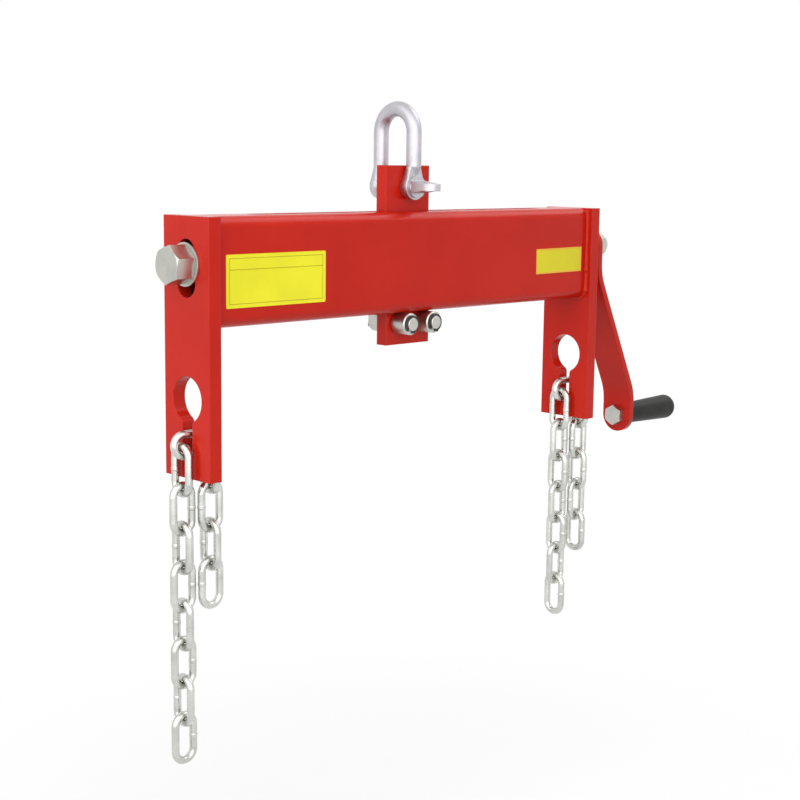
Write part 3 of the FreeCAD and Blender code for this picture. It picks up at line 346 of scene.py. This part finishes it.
def black_oxide(name, edge_radius):
    """Dark oxide finish, worn paler on the corners."""
    s = Shader(name)
    edges = s.math("MULTIPLY", s.edge_mask(edge_radius * WEAR_REACH), OXIDE_WEAR)
    body = s.ramp(s.noise(scale=120.0, detail=4.0), [(0.35, OXIDE), (0.75, OXIDE_WORN)])
    colour = s.mix(s.math("MINIMUM", edges, OXIDE_WEAR_MOST), body, ZINC_DARK)
    roughness = s.spread(s.noise(scale=200.0), low=0.30, high=0.46)
    pits = s.noise(scale=900.0, detail=2.0)
    soft = s.rounded_edges(edge_radius)
    normal = s.bump(pits, strength=0.08, distance=0.12 * MM, normal=soft)
    s.set(Metallic=OXIDE_METALLIC)
    return s.finish(colour, roughness, normal)


def black_plastic(name, edge_radius):
    """Moulded black grip with a fine grain, a little paler where it is handled."""
    s = Shader(name)
    rub = s.ramp(s.noise(scale=45.0, detail=4.0), [(0.40, BLACK), (0.75, BLACK_WORN)])
    roughness = s.spread(s.noise(scale=120.0), low=0.36, high=0.52)
    grain = s.noise(scale=1500.0, detail=2.0)
    edges = s.rounded_edges(edge_radius)
    normal = s.bump(grain, strength=0.12, distance=0.12 * MM, normal=edges)
    s.set(Specular_IOR_Level=PLASTIC_SPECULAR)
    return s.finish(rub, roughness, normal)


def sticker(name, colour):
    """Glossy vinyl film that follows the paint below it."""
    s = Shader(name)
    shade = tuple(FILM_SHADE * part for part in colour)
    tint = s.ramp(s.noise(scale=30.0), [(0.35, shade), (0.65, colour)])
    roughness = s.spread(s.noise(scale=90.0), low=0.28, high=0.40)
    grain = s.noise(scale=500.0, detail=2.0)
    normal = s.bump(grain, strength=0.05, distance=0.1 * MM)
    s.set(Specular_IOR_Level=FILM_SPECULAR)
    return s.finish(tint, roughness, normal)


def mesh_piece(name, points, faces, material, smooth=True):
    mesh = bpy.data.meshes.new(name)
    mesh.from_pydata(points, [], faces)
    mesh.validate()
    mesh.update()
    for polygon in mesh.polygons:
        polygon.use_smooth = smooth
    piece = bpy.data.objects.new(name, mesh)
    bpy.context.scene.collection.objects.link(piece)
    mesh.materials.append(material)
    return piece


def dress(material, *nodes):
    for node in nodes:
        slots = NODES[node].data.materials
        slots.clear()
        slots.append(material)


def weld_path(corner, step):
    """Points and outward normals down the tube's front, under it and up its back, as (y, z).

    The path starts and ends some way round the upper corners.
    """
    low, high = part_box("beam_tube")
    front, back = low.y, high.y
    bottom, top = low.z, high.z - corner
    path = []

    def straight(start, end, normal):
        count = max(LEAST_STRAIGHT, round(math.dist(start, end) / step))
        for index in range(count):
            share = index / count
            point = tuple(a + (b - a) * share for a, b in zip(start, end))
            path.append((point, normal))

    def bend(centre, start_angle, sweep):
        count = max(LEAST_BEND, round(corner * sweep / step))
        for index in range(count):
            angle = start_angle + sweep * index / count
            normal = (math.cos(angle), math.sin(angle))
            point = tuple(c + corner * n for c, n in zip(centre, normal))
            path.append((point, normal))

    bend((front + corner, top), math.pi - UPPER_SWEEP, UPPER_SWEEP)
    straight((front, top), (front, bottom + corner), (-1.0, 0.0))
    bend((front + corner, bottom + corner), math.pi, QUARTER)
    straight((front + corner, bottom), (back - corner, bottom), (0.0, -1.0))
    bend((back - corner, bottom + corner), 3 * QUARTER, QUARTER)
    straight((back, bottom + corner), (back, top), (1.0, 0.0))
    bend((back - corner, top), 0.0, UPPER_SWEEP)
    return path


def bead_size(leg, travelled, blobs):
    """Size of a weld bead at a distance along it, with its ripples, unevenness and blobs."""
    ripple = abs(math.sin(math.pi * travelled / (leg * RIPPLE_LENGTH)))
    legs = travelled / leg
    quick, slow = WANDER_RATES
    wander = math.sin(legs * quick) * math.sin(legs * slow + WANDER_PHASE)
    swell = sum(math.exp(-(((travelled - blob) / (BLOB_REACH * leg)) ** 2)) for blob in blobs)
    uneven = BEAD_RIPPLE * ripple + BEAD_WANDER * wander
    return leg * (BEAD_SIZE + uneven + BEAD_BLOB * min(swell, 1.0))


def weld_bead(side, blobs, material):
    """A rippled fillet bead between the tube's end and an end plate, swollen at some places."""
    node = f"{side}_weld"
    low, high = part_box(node)
    leg = high.x - low.x
    plate_x, inward = (low.x, 1.0) if side == "left" else (high.x, -1.0)
    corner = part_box("beam_tube")[1].z - high.z
    step = leg / BEAD_STEPS
    points = []
    faces = []
    path = weld_path(corner, step)
    for index, ((y, z), (ny, nz)) in enumerate(path):
        to_end = min(index, len(path) - 1 - index)
        size = bead_size(leg, index * step, blobs) * min(1.0, (to_end + 1) / BEAD_FADE)
        points.append((plate_x, y, z))
        for place in range(BEAD_SECTION):
            angle = QUARTER * place / (BEAD_SECTION - 1)
            out = size * math.sin(angle) ** BEAD_FACE
            away = size * math.cos(angle) ** BEAD_FACE
            points.append((plate_x + inward * away, y + ny * out, z + nz * out))
    ring = BEAD_SECTION + 1
    for index in range(len(path) - 1):
        first = index * ring
        second = first + ring
        for place in range(ring):
            following = (place + 1) % ring
            faces.append((first + place, first + following, second + following, second + place))
    faces.append(tuple(range(ring)))
    last = (len(path) - 1) * ring
    faces.append(tuple(range(last + ring - 1, last - 1, -1)))
    piece = mesh_piece(f"{side}_weld_bead", points, faces, material)
    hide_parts(node)
    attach(piece, "beam")


def label_sheet(node, angle, bands, header, fills):
    """A blank sticker with bands inside its edge.

    A header is the share of its height above a thin rule, and 0 leaves the rule out.
    """
    low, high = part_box(node)
    middle = (low + high) / 2
    long, tall = high.x - low.x, high.z - low.z
    cos, sin = math.cos(abs(angle)), math.sin(abs(angle))
    width = (long * cos - tall * sin) / (cos ** 2 - sin ** 2)
    height = (tall * cos - long * sin) / (cos ** 2 - sin ** 2)
    corner = height * CORNER_RADIUS
    outline = []
    faces = []
    marks = []
    inset = 0.0
    for share in [*(share for share, _ in bands), 0.0]:
        radius = max(corner - inset, corner * LEAST_RADIUS)
        for side_x, side_z, first_angle in CORNERS:
            for index in range(CORNER_POINTS):
                turn = math.radians(first_angle + 90 * index / (CORNER_POINTS - 1))
                x = side_x * (width / 2 - inset - radius) + radius * math.cos(turn)
                z = side_z * (height / 2 - inset - radius) + radius * math.sin(turn)
                outline.append((x, z))
        inset += share * height
    ring = len(CORNERS) * CORNER_POINTS
    for level, (_, fill) in enumerate(bands):
        first = level * ring
        second = first + ring
        for index in range(ring):
            following = (index + 1) % ring
            faces.append((first + index, second + index, second + following, first + following))
            marks.append(fill)
    inner = len(bands) * ring
    faces.append(tuple(range(inner + ring - 1, inner - 1, -1)))
    marks.append(0)
    points = [(x, low.y, z) for x, z in outline]
    back = len(points)
    points += [(x, high.y, z) for x, z in outline[:ring]]
    for index in range(ring):
        following = (index + 1) % ring
        faces.append((index, following, back + following, back + index))
    faces.append(tuple(range(back, back + ring)))
    marks += [bands[0][1]] * (ring + 1)
    if header:
        line_share, line_fill = bands[-1]
        first = len(points)
        reach = width / 2 - inset
        rule_top = height / 2 - header * height
        rule_edges = (rule_top, rule_top - line_share * height)
        for y in (low.y - RULE_THICK, low.y):
            points += [(x, y, z) for z in rule_edges for x in (-reach, reach)]
        for corners in BOX_FACES:
            faces.append(tuple(first + index for index in corners))
            marks.append(line_fill)
    spin = Matrix.Rotation(-angle, 4, "Y")
    centre = Vector((middle.x, 0.0, middle.z))
    placed = [spin @ Vector(point) + centre for point in points]
    piece = mesh_piece(f"{node}_sheet", placed, faces, fills[0], smooth=False)
    for fill in fills[1:]:
        piece.data.materials.append(fill)
    for polygon, mark in zip(piece.data.polygons, marks):
        polygon.material_index = mark
    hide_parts(node)
    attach(piece, "beam")


def turned(profile, segments):
    """A solid of revolution about Z from (radius, height) pairs, closed at both ends."""
    points = []
    faces = []
    for radius, height in profile:
        for index in range(segments):
            angle = 2 * math.pi * index / segments
            points.append((radius * math.cos(angle), radius * math.sin(angle), height))
    for level in range(len(profile) - 1):
        for index in range(segments):
            following = (index + 1) % segments
            first = level * segments
            second = first + segments
            faces.append((first + index, first + following, second + following, second + index))
    faces.append(tuple(range(segments - 1, -1, -1)))
    top = (len(profile) - 1) * segments
    faces.append(tuple(range(top, top + segments)))
    return points, faces


def link_seams(material):
    """The swelling of the butt weld halfway along one side of each link."""
    profile = []
    for index in range(SEAM_STEPS + 1):
        share = 2 * index / SEAM_STEPS - 1
        lift = (0.5 + 0.5 * math.cos(math.pi * share)) ** SEAM_FULLNESS
        notch = SEAM_NOTCH * math.exp(-((share / SEAM_NOTCH_WIDTH) ** 2))
        radius = WIRE_RADIUS + SEAM_RISE * (lift - notch) + SEAM_CLEARANCE
        profile.append((radius, SEAM_HALF * share))
    points, faces = turned(profile, SEAM_SEGMENTS)
    for node in LINKS:
        low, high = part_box(node)
        place, direction = seam_place(node, (low + high) / 2, high.z)
        turn = UP.rotation_difference(direction).to_matrix().to_4x4()
        frame_of_seam = Matrix.Translation(place) @ turn
        moved = [frame_of_seam @ Vector(point) for point in points]
        piece = mesh_piece(f"{node}_seam", moved, faces, material)
        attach(piece, BODY_OF[node])


def seam_place(node, middle, top):
    """Middle of a link's welded side and the direction along it."""
    plate = node.split("_")[0]
    centre = Vector(JOINTS[f"{plate}_slot_link_swivel"]["pos_m"])
    if "slot_link" in node:
        along = Vector(JOINTS[f"{plate}_outer_link_1_swing"]["pos_m"]) - centre
        along.z = 0.0
        return Vector((middle.x, middle.y, top - WIRE_RADIUS)), along.normalized()
    swing = Vector(JOINTS[f"{node}_swing"]["axis"])
    sideways = swing.cross(UP).normalized()
    if abs(sideways.x) > 0.5:  # the link lies along the beam
        sideways *= math.copysign(1.0, (centre - middle).dot(sideways))
    elif plate == "left":
        sideways *= math.copysign(1.0, sideways.y)
    return middle + sideways * LINK_SIDE, UP


def paint_everything():
    plate_paint = red_paint("plate_paint", edge_radius=1.0 * MM)
    bar_paint = red_paint("bar_paint", edge_radius=1.6 * MM, sheared=0.2)
    tube_paint = red_paint("tube_paint", edge_radius=0.5 * MM)
    dress(plate_paint, "left_end_plate", "right_end_plate", "crank_arm")
    dress(bar_paint, "hanger_plate", "roller_plate", "threaded_block", "block_welds")
    dress(tube_paint, "beam_tube")
    bright = zinc("zinc_plate", edge_radius=0.35 * MM)
    dress(bright, "left_washer", "right_washer", "collar_nut", "crank_washer", "crank_nut")
    dress(bright, "grip_bolt", "grip_nut", "roller_pins", *ROLLERS)
    forged = zinc("zinc_forged", 0.9 * MM, (FORGED, FORGED_PALE), rough=(0.36, 0.50))
    dress(forged, "shackle_bow", "shackle_pin")
    chain = zinc("zinc_chain", 0.3 * MM, (CHAIN, CHAIN_PALE), rough=(0.20, 0.32), grain=0.02)
    dress(chain, *LINKS)
    dress(black_oxide("clip_oxide", edge_radius=0.15 * MM), "roller_clips")
    dress(black_plastic("grip_black", edge_radius=0.5 * MM), "grip_sleeve", "grip_cap")
    screw_centre = JOINTS["crank_turn"]["pos_m"][1:]
    start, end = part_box("left_end_plate")[1].x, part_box("lead_screw")[1].x
    dress(threaded_zinc("zinc_screw", 0.5 * MM, screw_centre, start, end), "lead_screw")
    weld_bead("left", LEFT_BLOBS, tube_paint)
    weld_bead("right", RIGHT_BLOBS, tube_paint)
    film = sticker("sticker_yellow", YELLOW)
    rim = sticker("sticker_rim", YELLOW_RIM)
    frame_line = sticker("sticker_frame", YELLOW_LINE)
    # the right sticker's film is a darker copy of the same vinyl: painted shade
    shaded_film = sticker("sticker_painted_shade", YELLOW_SHADED)
    label_sheet("left_label", 0.0, LEFT_BANDS, LEFT_HEADER, (film, frame_line))
    label_sheet("right_label", RIGHT_TILT, RIGHT_BANDS, 0.0, (shaded_film, rim))
    link_seams(chain)


def studio():
    """A pale floor well below the hanging object, soft light from the left and above."""
    low, high = CAD_BOX
    centre = (low + high) / 2
    floor_z = low.z - FLOOR_DROP
    corners = [(-1, -1), (1, -1), (1, 1), (-1, 1)]
    points = [(centre.x + x * FLOOR_HALF, centre.y + y * FLOOR_HALF, floor_z) for x, y in corners]
    floor = mesh_piece("studio_floor", points, [(0, 1, 2, 3)], floor_material(centre))
    for name, offset, size, watts in LIGHTS:
        area_light(name, Vector(offset), centre, size, watts)
    studio_world()


def background_rays(tree):
    """1 for the rays that show the background: to the camera, in gloss and through glass."""
    path = tree.nodes.new("ShaderNodeLightPath")
    source = path.outputs["Is Camera Ray"]
    for kind in ("Is Glossy Ray", "Is Transmission Ray"):
        either = tree.nodes.new("ShaderNodeMath")
        either.operation = "MAXIMUM"
        tree.links.new(source, either.inputs[0])
        tree.links.new(path.outputs[kind], either.inputs[1])
        source = either.outputs[0]
    return source


def studio_world():
    """White to the camera and in reflections; as a light it is brighter at one side and above."""
    world = bpy.data.worlds.new("studio_world")
    bpy.context.scene.world = world
    world.use_nodes = True
    tree = world.node_tree
    background = tree.nodes["Background"]
    background.inputs["Color"].default_value = (*BACKGROUND, 1.0)
    coords = tree.nodes.new("ShaderNodeTexCoord")
    facing = tree.nodes.new("ShaderNodeVectorMath")
    facing.operation = "DOT_PRODUCT"
    facing.inputs[1].default_value = WORLD_FACING
    tree.links.new(coords.outputs["Generated"], facing.inputs[0])
    level = tree.nodes.new("ShaderNodeMapRange")
    level.interpolation_type = "SMOOTHSTEP"
    level.inputs["From Min"].default_value, level.inputs["From Max"].default_value = WORLD_SPAN
    level.inputs["To Min"].default_value, level.inputs["To Max"].default_value = WORLD_LIGHT
    tree.links.new(facing.outputs["Value"], level.inputs["Value"])
    strength = tree.nodes.new("ShaderNodeMapRange")
    tree.links.new(level.outputs["Result"], strength.inputs["To Min"])
    strength.inputs["To Max"].default_value = BACKGROUND_STRENGTH
    tree.links.new(background_rays(tree), strength.inputs["Value"])
    tree.links.new(strength.outputs["Result"], background.inputs["Strength"])


def floor_material(centre):
    """White with the object's shadow, fading to the background; dimmer to the light it bounces."""
    material = bpy.data.materials.new("studio_floor")
    material.use_nodes = True
    tree = material.node_tree
    near = tree.nodes["Principled BSDF"]
    near.inputs["Base Color"].default_value = (*FLOOR_WHITE, 1.0)
    near.inputs["Roughness"].default_value = FLOOR_ROUGHNESS
    dim = tree.nodes.new("ShaderNodeBsdfDiffuse")
    dim.inputs["Color"].default_value = (*FLOOR_DIM, 1.0)
    glow = tree.nodes.new("ShaderNodeEmission")
    glow.inputs["Strength"].default_value = BACKGROUND_STRENGTH
    coords = tree.nodes.new("ShaderNodeTexCoord")
    flat = tree.nodes.new("ShaderNodeVectorMath")
    flat.operation = "MULTIPLY"
    flat.inputs[1].default_value = (1.0, 1.0, 0.0)
    tree.links.new(coords.outputs["Object"], flat.inputs[0])
    distance = tree.nodes.new("ShaderNodeVectorMath")
    distance.operation = "DISTANCE"
    distance.inputs[1].default_value = (centre.x, centre.y, 0.0)
    tree.links.new(flat.outputs["Vector"], distance.inputs[0])
    fade = tree.nodes.new("ShaderNodeMapRange")
    fade.interpolation_type = "SMOOTHSTEP"
    fade.inputs["From Min"].default_value, fade.inputs["From Max"].default_value = FLOOR_FADE
    tree.links.new(distance.outputs["Value"], fade.inputs["Value"])
    white = tree.nodes.new("ShaderNodeMixShader")
    tree.links.new(fade.outputs["Result"], white.inputs["Fac"])
    tree.links.new(near.outputs[0], white.inputs[1])
    tree.links.new(glow.outputs[0], white.inputs[2])
    blend = tree.nodes.new("ShaderNodeMixShader")
    tree.links.new(background_rays(tree), blend.inputs["Fac"])
    tree.links.new(dim.outputs[0], blend.inputs[1])
    tree.links.new(white.outputs[0], blend.inputs[2])
    tree.links.new(blend.outputs[0], tree.nodes["Material Output"].inputs["Surface"])
    return material


def area_light(name, offset, target, size, watts):
    lamp = bpy.data.lights.new(name, "AREA")
    lamp.energy = watts
    lamp.size = size
    holder = bpy.data.objects.new(name, lamp)
    bpy.context.scene.collection.objects.link(holder)
    holder.location = target + offset
    holder.rotation_euler = (-offset).to_track_quat("-Z", "Y").to_euler()


def photo_camera():
    """The camera that the photograph's edges were fitted to, on an 800 pixel square."""
    focal_pixels = 1547.9
    image_pixels = 800.0
    place = Vector((-0.83716, -0.85188, -0.02928))
    yaw = math.radians(44.72)
    pitch = math.radians(8.97)
    roll = math.radians(-0.77)
    forward = Vector(
        (math.sin(yaw) * math.cos(pitch), math.cos(yaw) * math.cos(pitch), -math.sin(pitch))
    )
    right = Vector((math.cos(yaw), -math.sin(yaw), 0.0))
    down = forward.cross(right)
    right_rolled = right * math.cos(roll) + down * math.sin(roll)
    down_rolled = down * math.cos(roll) - right * math.sin(roll)
    data = bpy.data.cameras.new("photo_camera")
    data.sensor_width = 36.0
    data.lens = data.sensor_width * focal_pixels / image_pixels
    camera = bpy.data.objects.new("photo_camera", data)
    bpy.context.scene.collection.objects.link(camera)
    rotation = Matrix((right_rolled, -down_rolled, -forward)).transposed()
    camera.matrix_world = Matrix.Translation(place) @ rotation.to_4x4()
    bpy.context.scene.camera = camera


paint_everything()
studio()
photo_camera()
bpy.context.scene.view_settings.view_transform = "Standard"
